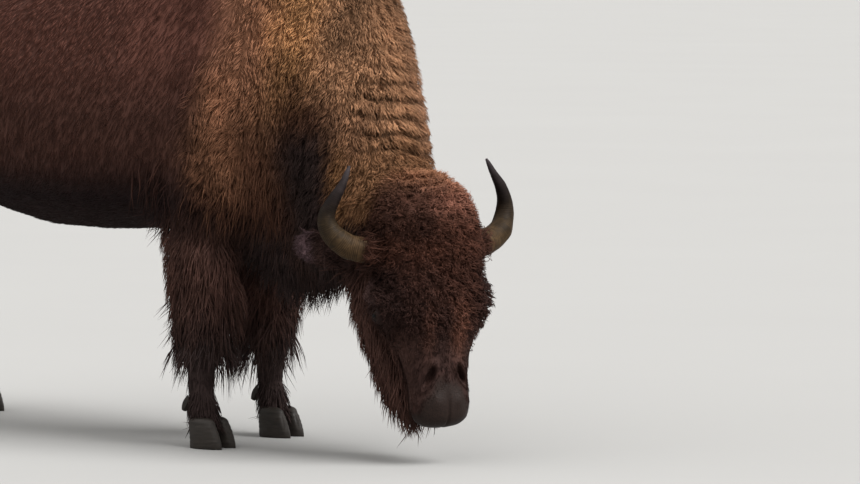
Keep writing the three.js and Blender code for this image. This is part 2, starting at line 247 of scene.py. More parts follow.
def makeSkin():
    copies = [mergedCopy(n) for n in fleshNodes]
    for obj in copies:
        setCoords(obj, coords(obj) + normalsOf(obj) * skinSettings["fuse"])
    ids = [zone for zone, names in enumerate(zoneNodes.values()) for n in names]
    # The sockets are filled, so that the skin closes over them and gets lids of its own.
    socket = skinSettings["socket"]
    for side in (1, -1):
        bpy.ops.mesh.primitive_uv_sphere_add(segments=24, ring_count=16, radius=1)
        plug = bpy.context.object
        place = (ex, (ey - socket["deep"]) * side, ez)
        setCoords(plug, fromHead(coords(plug) * socket["size"] + place))
        copies.append(plug)
        ids.append(zoneNames.index("crown"))
    for obj, zone in zip(copies, ids):
        marks = obj.data.attributes.new("zone", "INT", "FACE")
        marks.data.foreach_set("value", [zone] * len(obj.data.polygons))
    skin = joined(copies, "skin")
    skin.data.materials.clear()
    owners = readAll(skin.data.attributes["zone"].data, "value", 1, np.int32)[:, 0]
    solid = BVHTree.FromPolygons(
        [v.co for v in skin.data.vertices], [tuple(p.vertices) for p in skin.data.polygons]
    )
    finished(skin, "REMESH", mode="VOXEL", voxel_size=skinSettings["voxel"], use_smooth_shade=True)
    report("skin remeshed: %d faces" % len(skin.data.polygons))
    # Where each part of the skin belongs, softened along the surface.
    zones = np.zeros((len(skin.data.vertices), len(zoneNames)))
    for i, v in enumerate(skin.data.vertices):
        zones[i, owners[solid.find_nearest(v.co)[2]]] = 1
    zones = spread(zones, edgesOf(skin), 10)
    # Facets melt away on the trunk, a little less on head and legs, which are slimmer.
    col = {name: zones[:, k] for k, name in enumerate(zoneNames)}
    shares = {
        "trunk": col["wool"] + col["flank"],
        "slim": col["crown"] + col["jaw"] + col["beard"] + col["chaps"],
        "slimmest": col["cannon"] + col["tail"] + col["tuft"],
    }
    for name, rounds in skinSettings["smoothing"].items():
        group = skin.vertex_groups.new(name=name)
        for level in range(1, 11):  # in tenths, so that many points are set at once
            members = np.flatnonzero(np.round(shares[name] * 10) == level)
            group.add(members.tolist(), level / 10, "REPLACE")
        finished(skin, "SMOOTH", factor=0.5, iterations=rounds, vertex_group=name)
    for k, name in enumerate(zoneNames):  # kept as attributes, which later edits carry along
        markPoints(skin, name, zones[:, k])
    finished(skin, "DECIMATE", ratio=skinSettings["keep"], vertex_group="trunk")
    skin.vertex_groups.clear()
    report("skin thinned: %d faces" % len(skin.data.polygons))
    return skin


def zonesOf(skin):
    marks = skin.data.attributes
    return {name: readAll(marks[name].data, "value")[:, 0].astype(float) for name in zoneNames}


skin = makeSkin()

# Finer faces where the head needs them: the places of each round, in the head's frame and on both
# sides of it, each with its reach.
finerPlaces = [
    [(-0.33, 0, -0.08, 0.17)],
    [(0.012, 0.165, -0.155, 0.085)],
    [(ex, ey + 0.02, ez, 0.050), (0.32, 0.04, 0.04, 0.05), (0.40, 0, -0.02, 0.085)],
    [(ex, ey + 0.02, ez, 0.050), (0.315, 0.042, 0.04, 0.045)],
]


def refine(skin, places):
    only(skin)
    bpy.ops.object.mode_set(mode="EDIT")
    bpy.ops.mesh.select_all(action="DESELECT")
    bpy.ops.object.mode_set(mode="OBJECT")
    co = toHead(coords(skin))
    co[:, 1] = np.abs(co[:, 1])
    near = np.zeros(len(co), bool)
    for x, y, z, reach in places:
        near |= np.linalg.norm(co - (x, y, z), axis=1) < reach
    skin.data.vertices.foreach_set("select", near)
    bpy.ops.object.mode_set(mode="EDIT")
    bpy.ops.mesh.select_mode(type="VERT")
    bpy.ops.mesh.subdivide(number_cuts=1, smoothness=0)
    bpy.ops.object.mode_set(mode="OBJECT")


for places in finerPlaces:
    refine(skin, places)
report("head refined: %d faces" % len(skin.data.polygons))


# How far the wool of the cape reaches: its rear edge runs up from the elbow, forward over the
# shoulder and back again over the hump. Heights and places in the body's frame.
capeEdge = {
    "height": [0.45, 0.75, 0.82, 1.05, 1.30, 1.55],
    "x": [-0.01, 0.03, 0.06, 0.19, 0.08, -0.08],
    "waver": 0.02, "waverSize": 0.12, "from": -0.045, "to": 0.055,
}


def capeShare(points, soft=0.0):  # 1 in the cape, 0 behind it, over a wider edge where it is soft
    x, z = points[:, 0] - hoofLine[0], points[:, 2]
    edge = np.interp(z, capeEdge["height"], capeEdge["x"])
    edge += capeEdge["waver"] * wander(points, capeEdge["waverSize"], 3)
    return ramp(x - edge, capeEdge["from"] - 0.2 * soft, capeEdge["to"] + soft)


def eyeDistance(head):  # in the head's frame, to the nearer eye's place on the surface
    across = np.abs(head[:, 1]) - ey - 0.02
    return np.linalg.norm(np.stack([head[:, 0] - ex, across, head[:, 2] - ez]), axis=0)


def sinkSkin(skin):  # by the depth of the coat, even where zones meet
    zones = zonesOf(skin)
    co = coords(skin)
    head = toHead(co)
    deep = dict(skinSettings["depth"])
    cape = capeShare(co)
    deep["wool"] = deep["flank"] * (1 - cape) + deep["wool"] * cape
    total = sum(zones.values())
    depth = sum(zones[name] * deep[name] for name in zoneNames) / np.maximum(total, 1e-6)
    # Under the curls of the crown the skin lies deep, on the face only a few millimetres.
    onHead = ramp(zones["crown"], 0.3, 0.7)
    facial = np.full(len(co), skinSettings["headDepth"]["face"])
    for place, share in (
        ("crown", ramp(head[:, 0], 0.20, 0.06)),
        ("muzzle", ramp(head[:, 0], 0.33, 0.38)),
        ("eyelids", ramp(eyeDistance(head), 0.085, 0.045)),
    ):
        facial = facial * (1 - share) + skinSettings["headDepth"][place] * share
    depth = depth * (1 - onHead) + facial * onHead + skinSettings["fuse"]
    depth = spread(depth[:, None], edgesOf(skin), 6)[:, 0]
    setCoords(skin, co - normalsOf(skin) * depth[:, None])


sinkSkin(skin)
report("skin sunk")

faceShape = {
    "lidLength": 0.0210, "upperLid": 0.0125, "lowerLid": 0.0115, "lidThickness": 0.0022,
    "eyeOut": 0.004, "socketDepth": 0.009, "lidFold": 0.0020, "lidRim": 0.0014,
    "brow": 0.0050, "tearHollow": 0.0025,
    "nostril": (0.312, 0.041, 0.046), "nostrilSize": (0.026, 0.011, 0.022),
    "nostrilDepth": 0.020, "nostrilRim": 0.0035, "wing": 0.0035,
    "mouthHeight": -0.047, "mouthDepth": 0.016, "upperLip": 0.004, "lowerLip": 0.003,
    "groove": (0.002, 0, 0.004),
}
earShape = {
    "base": (0.016, 0.116, -0.104), "tip": (0.008, 0.216, -0.208),
    "shift": (-0.016, 0.012), "widen": 0.30, "lean": 0.016, "cupDepth": 0.9, "wall": 0.004,
    # Along the ear: where its middle stands, half its width, and its thickness.
    "at": [0, 0.3, 0.6, 0.86, 1],
    "centre": [0.016, 0.016, 0.014, 0.012, 0.008],
    "halfWide": [0.022, 0.036, 0.048, 0.044, 0.022],
    "thick": [0.018, 0.018, 0.016, 0.012, 0.006],
}
# Creases across the lowered nape: how high each lies, and how deep it is as a share of the depth.
foldSettings = {
    "lines": [(0.985, 0.25), (0.945, 0.4), (0.905, 0.6), (0.865, 1.0), (0.822, 0.9), (0.780, 1.0),
              (0.742, 1.0)],
    "depth": 0.022, "width": 0.0085, "swell": 0.003, "slope": 0.10, "waver": 0.006,
    "behind": (0.40, 0.48), "right": (-0.16, -0.10), "left": (0.10, -0.03),
}


def foldDepth(points):  # 0 on the swells, 1 at the bottom of a crease
    fold = foldSettings
    x, y, z = (points - hoofLine).T
    level = z + fold["slope"] * (y + 0.03) + fold["waver"] * wander(points, 0.10, 41)
    out = np.zeros(len(points))
    for height, deep in fold["lines"]:
        out = np.maximum(out, deep * bump(level, height, fold["width"]))
    return out * ramp(x, *fold["behind"]) * ramp(y, *fold["right"]) * ramp(y, *fold["left"])


def sculptEyes(head):  # lids over the ball of each eye, open between two arched edges
    side = np.where(head[:, 1] > 0, 1, -1)
    a, b, c = head[:, 0] - ex, head[:, 2] - ez, head[:, 1] * side
    r = np.hypot(a, b)
    radius = pose["eyeRadius"]
    where = (r < 0.06) & (c > 0.09)
    arch = 1 - (a / faceShape["lidLength"]) ** 2
    edge = np.where(b > 0, b - faceShape["upperLid"] * arch, -b - faceShape["lowerLid"] * arch)
    ballAt = ey + faceShape["eyeOut"]
    ball = np.sqrt(np.maximum((radius + faceShape["lidThickness"]) ** 2 - r ** 2, 0)) + ballAt
    near = ramp(r, 0.048, 0.026)
    out = c - faceShape["socketDepth"] * near
    lids = ramp(r, 0.0245, 0.0215)
    out = out * (1 - lids) + np.maximum(ball, out) * lids
    # A fold above the lid, the brow over it, and a hollow in front of the eye.
    out -= faceShape["lidFold"] * bump(edge, 0.0085, 0.0022) * near
    out += faceShape["lidRim"] * bump(edge, 0.0020, 0.0020) * lids
    out += faceShape["brow"] * bump(b, 0.034, 0.010) * bump(a, -0.010, 0.030)
    out -= faceShape["tearHollow"] * bump(b, -0.014, 0.012) * bump(a, 0.036, 0.014)
    behind = np.sqrt(np.maximum((radius - 0.002) ** 2 - r ** 2, 0)) + ballAt - 0.002
    inside = ramp(edge, 0.0006, -0.0010) * (r < 0.0225)
    out = out * (1 - inside) + np.minimum(behind, out) * inside
    head[:, 1] = np.where(where, out * side, head[:, 1])


def sculptMuzzle(head):
    side = np.where(head[:, 1] > 0, 1, -1)
    x, y, z = head[:, 0], head[:, 1] * side, head[:, 2]
    nx, ny, nz = faceShape["nostril"]
    sx, sy, sz = faceShape["nostrilSize"]
    # A nostril is a comma: its tail runs back and up along the side of the muzzle.
    bend = ny + 0.45 * (x - nx) + 6 * (x - nx) ** 2
    q = np.sqrt(((x - nx) / sx) ** 2 + ((y - bend) / sy) ** 2 + ((z - nz) / sz) ** 2)
    inward = np.stack([-0.35 * np.ones_like(x), -0.30 * side, -0.90 * np.ones_like(x)], axis=1)
    hole = ramp(q, 1.05, 0.55)[:, None] * faceShape["nostrilDepth"]
    rim = (bump(q, 1.35, 0.30) * faceShape["nostrilRim"])[:, None]
    front = ramp(z, 0.0, 0.02)[:, None]
    head += (inward * hole - inward * rim) * front
    # The lips part along a line that runs back from the front of the muzzle, and swell beside it.
    line = faceShape["mouthHeight"] - 0.10 * (0.40 - x)
    reach = ramp(x, 0.275, 0.31)
    mouth = bump(z, line, 0.0045) * faceShape["mouthDepth"]
    mouth -= bump(z, line + 0.013, 0.008) * faceShape["upperLip"]
    mouth -= bump(z, line - 0.012, 0.008) * faceShape["lowerLip"]
    core = np.stack([np.full_like(x, 0.30), np.zeros_like(x), np.full_like(x, -0.05)], axis=1)
    head -= unit(head - core) * (mouth * reach)[:, None]
    # A groove down the middle of the pad, and its rounded wings.
    groove = bump(head[:, 1], 0, 0.0035) * ramp(x, 0.34, 0.37) * ramp(z, -0.05, -0.03)
    head -= groove[:, None] * faceShape["groove"]
    wing = bump(y, 0.030, 0.014) * bump(x, 0.375, 0.020) * ramp(z, 0.0, 0.02)
    head[:, 2] += faceShape["wing"] * wing


def sculptEars(head, share):  # a cup that opens outwards and towards the forehead
    side = np.where(head[:, 1] > 0, 1, -1)
    flip = np.stack([np.ones_like(side), side, np.ones_like(side)], axis=1)
    base, shift = np.array(earShape["base"]), earShape["shift"]
    run = earShape["tip"] - base
    p = head * flip
    t = ((p - base) @ run) / (run @ run)
    facing = unit(np.cross([1, 0, 0], run) * -1)
    facing = facing if facing[2] > 0 else -facing
    w = (p - base - t[:, None] * run) @ facing
    mine = ramp(share, 0.35, 0.8) * ramp(t, 0.1, 0.5)
    lean = earShape["lean"] * ramp(t, 0.2, 0.9)
    p[:, :2] += mine[:, None] * shift
    p[:, 0] += mine * (earShape["widen"] * (p[:, 0] - 0.013) - lean)
    centre, halfWide, thick = (
        np.interp(t, earShape["at"], earShape[k]) for k in ("centre", "halfWide", "thick")
    )
    v = p[:, 0] - mine * shift[0] + mine * lean - centre
    cup = np.clip(1 - (v / (0.84 * halfWide)) ** 2, 0, 1) ** 0.5
    cup *= ramp(t, 0.12, 0.34) * ramp(t, 1.0, 0.86) * ramp(share, 0.35, 0.8) * ramp(w, -0.001, 0.004)
    p += facing * ((-thick + earShape["wall"] - w) * cup * earShape["cupDepth"])[:, None]
    head[:] = p * flip


def sculptHead(skin):
    head = toHead(coords(skin))
    zones = zonesOf(skin)
    near = head[:, 0] > -0.2
    part = head[near]
    sculptEyes(part)
    sculptMuzzle(part)
    sculptEars(part, zones["ear"][near])
    head[near] = part
    co = coords(skin)
    co[near] = fromHead(part)
    setCoords(skin, co)


def creaseNape(skin):
    co = coords(skin)
    folds = foldDepth(co) * zonesOf(skin)["wool"]
    deep = folds * foldSettings["depth"] * ramp(folds, 0, 0.1)
    outward = (foldSettings["swell"] - deep) * (folds > 0)
    setCoords(skin, co + normalsOf(skin) * outward[:, None])


sculptHead(skin)
creaseNape(skin)
report("head and folds sculpted")


def unwrap(skin):  # one unwrap of the skin's own shape, which the coat's pieces share
    flat = math.radians(66)
    inEditMode(skin, bpy.ops.uv.smart_project, angle_limit=flat, island_margin=0.002)
    skin.data.uv_layers[0].name = "OFBake"


unwrap(skin)
report("skin unwrapped")


# Markings: one set of colours by place, which skin and coat share.
colours = {
    "tan": (0.330, 0.162, 0.070), "russet": (0.270, 0.124, 0.068), "umber": (0.085, 0.036, 0.022),
    "flank": (0.068, 0.029, 0.021), "back": (0.124, 0.049, 0.035), "belly": (0.014, 0.006, 0.006),
    "crown": (0.077, 0.029, 0.018), "fuzz": (0.240, 0.102, 0.068), "face": (0.032, 0.015, 0.012),
    "streak": (0.185, 0.074, 0.047), "mauve": (0.130, 0.075, 0.068), "shade": (0.100, 0.049, 0.038),
    "ear": (0.090, 0.054, 0.058), "leg": (0.038, 0.024, 0.022), "pad": (0.023, 0.013, 0.010),
    "napeGain": (0.25, 0.32, 0.62),  # what the nape gains of red, green and blue
}


def padShare(head):  # bare between and below the nostrils, and on the lips
    hx, hy, hz = head.T
    start = 0.306 + 1.6 * np.maximum(np.abs(hy) - 0.026, 0) + 0.006 * wander(head, 0.02, 51)
    return np.maximum(ramp(hx, start, start + 0.035) * ramp(hz, 0.0, 0.02), ramp(hx, 0.386, 0.404))


def tonesAt(at, head, zones):  # a colour for each point, from its place and its share of each zone
    pick = {name: np.array(value) for name, value in colours.items()}

    def plain(name):
        return np.tile(pick[name], (len(at), 1))

    def over(base, *layers):  # each layer: a colour's name and the share of it that covers the base
        for name, share in layers:
            base = base + (pick[name] - base) * np.clip(share, 0, 1)[:, None]
        return base

    def lit(base, *shares):  # brighter by each share, or darker where it is below 0
        for share in shares:
            base = base * (1 + share)[:, None]
        return base

    x, y, z = (at - hoofLine).T
    # The body: lighter on top of the back and near black on the belly, partly the coat's own colours
    # and partly painted light from above and painted shade underneath.
    body = over(
        plain("flank"),
        ("back", ramp(z, 0.78, 1.00)),
        ("belly", ramp(z, 0.74, 0.60)),
        ("leg", ramp(z, 0.62, 0.45)),
        ("russet", 0.8 * ramp(x, 0.07, 0.22) * ramp(z, 0.70, 0.80)),
    )
    # The cape: tan on the neck, russet on the shoulder, painted shade in the hollow between them, and
    # darker below, partly its own darker hair and partly painted shade.
    cape = over(plain("tan"), ("russet", ramp(x, 0.32, 0.20)))
    # Painted highlights: the cape brighter on the shoulder, its point, the top of the hump and the
    # neck, where the light falls on them.
    cape = lit(
        cape,
        0.25 * bump(x, 0.09, 0.05) * ramp(z, 0.76, 0.82),
        0.30 * bump(x, 0.15, 0.04) * ramp(z, 0.80, 0.86) * ramp(z, 1.00, 0.92),  # point of the shoulder
        0.60 * bump(x, 0.23, 0.06) * ramp(z, 0.955, 1.01),
        0.30 * bump(x, 0.33, 0.05) * ramp(z, 0.90, 1.00),
    )
    cape = cape * (1 + pick["napeGain"] * (ramp(x, 0.32, 0.40) * ramp(z, 0.72, 0.80))[:, None])
    # Painted shade on the top of the nape, and painted highlights on the shoulder and the hump.
    cape = lit(
        cape,
        -0.48 * ramp(z, 0.95, 1.0) * bump(x, 0.415, 0.04),
        0.65 * bump(x, 0.135, 0.04) * bump(z, 0.89, 0.07),
        0.65 * bump(x, 0.24, 0.035) * bump(z, 1.0, 0.03),
    )
    # Painted shade at the foot of the neck, where the lowered head shades it.
    neckFootShade = 0.50 * ramp(x, 0.51, 0.47) * ramp(z, 0.89, 0.80) * ramp(z, 0.68, 0.76)
    neckFootShade = neckFootShade * ramp(x, 0.36, 0.42)
    # Painted shade on the wool low beside the ears, which lies in shadow.
    shadeByEar = ramp(z, 0.60, 0.555) * ramp(np.abs(y - 0.02), 0.08, 0.13) * ramp(x, 0.36, 0.42)
    low = ramp(x, 0.46, 0.40)
    # Painted shade in pits of the wool on the shoulder.
    pitShade = ramp(wander(at, 0.045, 61), 0.1, 0.8) * bump(x, 0.30, 0.05) * bump(z, 0.91, 0.06)
    cape = over(
        cape,
        ("umber", neckFootShade),
        # Darker on the lower shoulder, partly its own darker hair and partly painted shade.
        ("umber", 0.80 * ramp(z, 0.90, 0.71) * ramp(x, 0.13, 0.21) * ramp(x, 0.40, 0.36)),
        ("umber", 0.25 * ramp(x, 0.08, 0.0)),
        ("mauve", 0.30 * ramp(y, -0.02, 0.07) * ramp(x, 0.40, 0.50)),
        ("shade", 0.38 * ramp(z, 0.80, 0.73) * ramp(x, 0.44, 0.48)),
        ("leg", shadeByEar),
        # Darker low on the chest under the neck, partly its own darker hair and partly painted shade.
        ("umber", ramp(z, 0.72, 0.58) * low),
        ("leg", ramp(z, 0.64, 0.50) * low),
        ("umber", 0.75 * pitShade),
    )
    # Painted shade in the hollow between neck and shoulder: dark brown above, near black below.
    hollow = ramp(x, 0.22, 0.31) * ramp(x, 0.46, 0.37) * ramp(np.abs(y), 0.05, 0.09)
    cape = over(
        lit(cape, 0.10 * wander(at, 0.06, 62)),
        ("umber", 0.9 * hollow * ramp(z, 0.94, 0.82)),
        ("leg", 0.95 * hollow * ramp(z, 0.84, 0.74)),
    )
    wool = body + (cape - body) * capeShare(at, 0.07)[:, None]
    # The head: a fuzzy dark crown, darker toward the horns, and a face with a pale streak.
    hx, hy, hz = head.T
    off = np.abs(hy)
    flanks = np.maximum(ramp(hy, 0.03, -0.05), ramp(hy, 0.08, 0.13))
    crown = lit(
        over(plain("crown"), ("fuzz", ramp(hx, -0.02, -0.10)), ("tan", 0.55 * ramp(hx, -0.09, -0.19))),
        0.14 * wander(at, 0.03, 63),
        -0.66 * flanks * ramp(hx, -0.175, -0.115) * ramp(hx, 0.03, -0.05),
    )
    temple = bump(hx, 0.105, 0.025) * ramp(off, 0.10, 0.125)
    temple = temple * ramp(hz, -0.10, -0.06) * ramp(hz, 0.01, -0.02)
    streaks = bump(hy, 0.035, 0.023) + 0.35 * bump(hy, -0.045, 0.016)
    face = over(
        crown,
        ("face", ramp(hx, 0.0, 0.10) * (0.42 + 0.3 * ramp(hy, 0.02, -0.06))),
        ("face", ramp(hx, 0.10, 0.22)),
        ("face", ramp(off, 0.07, 0.12) * ramp(hx, 0.0, 0.08)),
        ("mauve", 0.8 * temple),
        ("streak", 0.8 * bump(hx, 0.195, 0.06) * streaks * ramp(hz, 0.0, 0.03)),
        ("shade", 0.45 * ramp(off, 0.06, 0.09) * ramp(hx, 0.17, 0.24)),
        ("pad", padShare(head)),
    )
    throat = over(plain("shade"), ("umber", 0.5 * ramp(hx, 0.05, -0.05)))
    tone = {
        "wool": wool, "flank": body, "crown": face,
        "jaw": over(throat, ("pad", ramp(hx, 0.36, 0.385))), "beard": throat,
        "ear": over(plain("face"), ("ear", ramp(off, 0.196, 0.214))),
        "tail": body, "tuft": plain("leg"),
        "chaps": over(plain("leg"), ("shade", ramp(z, 0.25, 0.45))), "cannon": plain("leg"),
    }
    total = np.maximum(sum(zones.values()), 1e-6)[:, None]
    return sum(tone[k] * zones[k][:, None] for k in tone) / total


def colourSkin(skin):
    co, zones = coords(skin), zonesOf(skin)
    head = toHead(co)
    pad = padShare(head) * ramp(head[:, 2], -0.16, -0.12)
    markPoints(skin, "bare", np.maximum(pad, ramp(eyeDistance(head), 0.030, 0.024)))
    # Painted shade: the skin a tenth darker under the hair, and darker on top of the back and rump,
    # where the light from above falls most.
    thinAndShaded = (zones["flank"] + zones["tail"]) * ramp(co[:, 2], 0.78, 0.96)  # partly thin hair that shows the skin, partly painted shade
    paintPoints(skin, "tone", tonesAt(co, head, zones) * (0.9 - 0.40 * thinAndShaded)[:, None])


colourSkin(skin)


# Coat: closed three-sided locks, rooted in the skin and lying along the body.
lockSettings = {
    "rootDepth": 0.0015, "ridge": 0.9,  # the third side's height, as a share of half the width
    "patch": 0.003,                     # width of the patch of the map that a lock's colours bake into
}


def skinField(skin):
    mesh = skin.data
    mesh.calc_loop_triangles()
    tris = readAll(mesh.loop_triangles, "vertices", 3, np.int32)
    loops = readAll(mesh.loop_triangles, "loops", 3, np.int32)
    uv = readAll(mesh.uv_layers["OFBake"].data, "uv", 2)
    co = coords(skin)
    a, b, c = co[tris[:, 0]], co[tris[:, 1]], co[tris[:, 2]]
    # Over ridges and creases of the wool the hair stands more evenly than the skin under it.
    woolly = zonesOf(skin)["wool"][:, None]
    normals = normalsOf(skin)
    normals = unit(normals * (1 - woolly) + spread(normals, edgesOf(skin), 8) * woolly)
    return {
        "co": co, "normals": normals, "tris": tris,
        "uv": uv[loops].astype(float),
        "area": np.linalg.norm(np.cross(b - a, c - a), axis=1) / 2,
        "zones": zonesOf(skin),
    }


field = skinField(skin)


def rootsWhere(share, perSquareMetre):  # random places on the skin, as many as each spot's share asks
    tris = field["tris"]
    wanted = field["area"] * share[tris].mean(axis=1)
    count = int(wanted.sum() * perSquareMetre)
    steps = (np.arange(count) + dice.random(count)) / count
    tri = np.searchsorted(np.cumsum(wanted) / wanted.sum(), steps).clip(0, len(tris) - 1)
    r, q = np.sqrt(dice.random(count)), dice.random(count)
    mix = np.stack([1 - r, r * (1 - q), r * q], axis=1)[:, :, None]
    corners = tris[tri]
    roots = {
        "at": (field["co"][corners] * mix).sum(axis=1),
        "normal": unit((field["normals"][corners] * mix).sum(axis=1)),
        "uv": (field["uv"][tri] * mix).sum(axis=1),
    }
    roots["head"] = toHead(roots["at"])
    roots["zones"] = {k: (v[corners] * mix[:, :, 0]).sum(axis=1) for k, v in field["zones"].items()}
    return roots


def lieOf(roots):  # which way the hair lies, along the surface
    at, n, head, zones = (roots[k] for k in ("at", "normal", "head", "zones"))
    x, y, z = (at - hoofLine).T
    fall = np.tile([-0.40, 0, -0.90], (len(at), 1))
    fall[:, 0] += 0.30 * ramp(x, 0.14, 0.26)  # straight down on the neck, slanting back elsewhere
    top = ramp(n[:, 2], 0.3, 0.9)[:, None]
    under = ramp(-n[:, 2], 0.3, 0.9)[:, None]
    fall = fall * (1 - top) + np.array([-1, 0, -0.1]) * top
    fall = fall * (1 - under) + np.array([-1, 0, 0]) * under
    down = np.array([0, 0, -1.0])
    forward, sideways, upward = headTurn.T
    brisket = (ramp(x, 0.1, 0.25) * ramp(z, 0.75, 0.6))[:, None]
    wool = fall * (1 - brisket) + (down + (-0.2, 0, 0)) * brisket
    crown = forward + sideways * (np.clip(head[:, 1] / 0.12, -1, 1) * 0.45)[:, None]
    limbs = down + np.array([-0.15, 0, 0])
    outward = sideways * np.sign(y)[:, None] + upward * -0.8
    way = (
        wool * zones["wool"][:, None] + fall * zones["flank"][:, None]
        + crown * zones["crown"][:, None]
        + (forward - 0.15 * upward) * (zones["jaw"] + zones["beard"])[:, None]
        + outward * zones["ear"][:, None] + down * (zones["tail"] + zones["tuft"])[:, None]
        + limbs * (zones["chaps"] + zones["cannon"])[:, None]
    )
    hindLeg = (zones["flank"] * ramp(z, 0.75, 0.6) * ramp(x, -0.7, -0.8))[:, None]
    way = way * (1 - hindLeg) + down * hindLeg
    hanging = (zones["chaps"] * ramp(-n[:, 2], 0.0, 0.5))[:, None]  # the hem hangs free of the skin
    way = way - n * (way * n).sum(axis=1)[:, None] * (1 - hanging)
    return unit(way)


def turned(v, axis, angle):  # v turned about a unit axis
    c, s = np.cos(angle)[:, None], np.sin(angle)[:, None]
    return v * c + np.cross(axis, v) * s + axis * (axis * v).sum(axis=1)[:, None] * (1 - c)


def clumpsOf(roots, spacing):  # each root's clump: the nearest of some roots, about that far apart
    at = roots["at"]
    cells = {}
    for i, key in enumerate(map(tuple, np.floor(at / spacing).astype(int))):
        cells.setdefault(key, i)
    heads = np.array(sorted(cells.values()))
    tree = KDTree(len(heads))
    for k, i in enumerate(heads):
        tree.insert(at[i], k)
    tree.balance()
    return heads, np.array([tree.find(p)[1] for p in at])


def growLocks(name, roots, look, tones):
    at, n = roots["at"], roots["normal"]
    count = len(at)
    heads, own = clumpsOf(roots, look["clump"])

    def shared(clump, each):  # what all of a clump has, and what each of its locks adds
        return dice.normal(0, clump, len(heads))[own] + dice.normal(0, each, count)

    angle = shared(math.radians(look["turn"]), math.radians(look["stray"]))
    lie = turned(roots["lie"] if "lie" in roots else lieOf(roots), n, angle)
    across = unit(np.cross(n, lie))
    length = dice.uniform(*look["length"], count) * roots.get("longer", 1)
    rise = look["rise"] * roots.get("deeper", 1) * np.clip(1 + shared(0.18, 0.10), 0.3, 1.15)
    rise = np.minimum(rise, length * 0.8)
    along = np.sqrt(length ** 2 - rise ** 2)
    width = dice.uniform(*look["width"], count) * np.minimum(1, roots.get("longer", 1) + 0.2)
    wave = look["wave"] * length * np.clip(1 + shared(0.3, 0.2), 0.2, 2)
    phase = dice.uniform(0, 6.28, len(heads))[own] + dice.normal(0, 0.5, count)
    twist = dice.normal(0, 0.6, count)
    pull = at[heads[own]] - at
    pull -= n * (pull * n).sum(axis=1)[:, None]
    rows = look["rows"]
    verts = np.empty((count, 3 * rows + 1, 3))
    tint = np.empty((count, 3 * rows + 1))
    sag = np.array([0, 0, -1.0]) * look["droop"]
    for k in range(rows + 1):
        t = k / rows
        turn = look["turns"] * 6.28 * t + phase
        centre = (
            at - n * lockSettings["rootDepth"] + lie * (along * t)[:, None]
            + n * (rise * (1.55 * t - 0.55 * t * t))[:, None]
            + across * (wave * t ** 0.7 * np.sin(turn))[:, None]
            + n * (wave * 0.5 * t * np.cos(turn))[:, None]
            + pull * (look["gather"] * t ** 1.3) + sag * (length * t * t)[:, None]
        )
        if k == rows:
            verts[:, -1] = centre
            tint[:, -1] = 1
            break
        half = (width / 2 * look["swell"][k])[:, None]
        flat = across * np.cos(twist)[:, None] + n * np.sin(twist)[:, None]
        proud = n * np.cos(twist)[:, None] - across * np.sin(twist)[:, None]
        verts[:, 3 * k] = centre - flat * half
        verts[:, 3 * k + 1] = centre + flat * half
        verts[:, 3 * k + 2] = centre + proud * half * lockSettings["ridge"]
        tint[:, 3 * k : 3 * k + 3] = t
    shade = np.clip(1 + shared(look["mottle"], 0.06), 0.45, 1.7)
    # Painted shade: each lock darker at its root, deep among the hair, and lighter towards its tip.
    bright = shade[:, None] * (look["rootShade"] + (1 - look["rootShade"]) * tint ** 0.8)
    colour = tones[:, None, :] * bright[:, :, None]
    return lockMesh(name, verts, colour, tint, roots["uv"], rows)


def lockMesh(name, verts, colour, tint, uv, rows):
    count, size = verts.shape[:2]
    sides = ((0, 1), (1, 2), (2, 0))
    quads = [
        (k + a, k + b, k + 3 + b, k + 3 + a) for k in range(0, 3 * rows - 3, 3) for a, b in sides
    ]
    last = 3 * rows - 3
    ends = [(0, 2, 1)] + [(last + a, last + b, size - 1) for a, b in sides]
    pattern = [v for face in quads + ends for v in face]
    sizes = [len(face) for face in quads + ends]
    corners = (np.arange(count)[:, None] * size + np.array(pattern)[None, :]).ravel()
    starts = np.concatenate([[0], np.cumsum(np.tile(sizes, count))[:-1]])
    mesh = bpy.data.meshes.new(name)
    mesh.vertices.add(count * size)
    mesh.vertices.foreach_set("co", verts.astype(np.float32).ravel())
    mesh.loops.add(len(corners))
    mesh.loops.foreach_set("vertex_index", corners.astype(np.int32))
    mesh.polygons.add(count * len(sizes))
    mesh.polygons.foreach_set("loop_start", starts.astype(np.int32))
    mesh.update(calc_edges=True)
    mesh.polygons.foreach_set("use_smooth", np.ones(len(mesh.polygons), bool))
    # Each lock's colours bake into a small patch of the map, at its root.
    place = np.empty((count, size, 2))
    across = np.array([0, 1, 0.5] * rows + [0.5]) - 0.5
    place[:, :, 0] = uv[:, None, 0] + across * lockSettings["patch"]
    place[:, :, 1] = uv[:, None, 1] + (tint - 0.5) * lockSettings["patch"]
    place = np.clip(place.reshape(-1, 2)[corners], 0, 1)
    mesh.uv_layers.new(name="OFBake").data.foreach_set("uv", place.astype(np.float32).ravel())
    obj = bpy.data.objects.new(name, mesh)
    paintPoints(obj, "tone", colour.reshape(-1, 3))
    scene.collection.objects.link(obj)
    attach(obj, "root")
    triangles = count * (6 * rows - 2)
    report("%s: %d locks, %d triangles" % (name, count, triangles))
    return obj


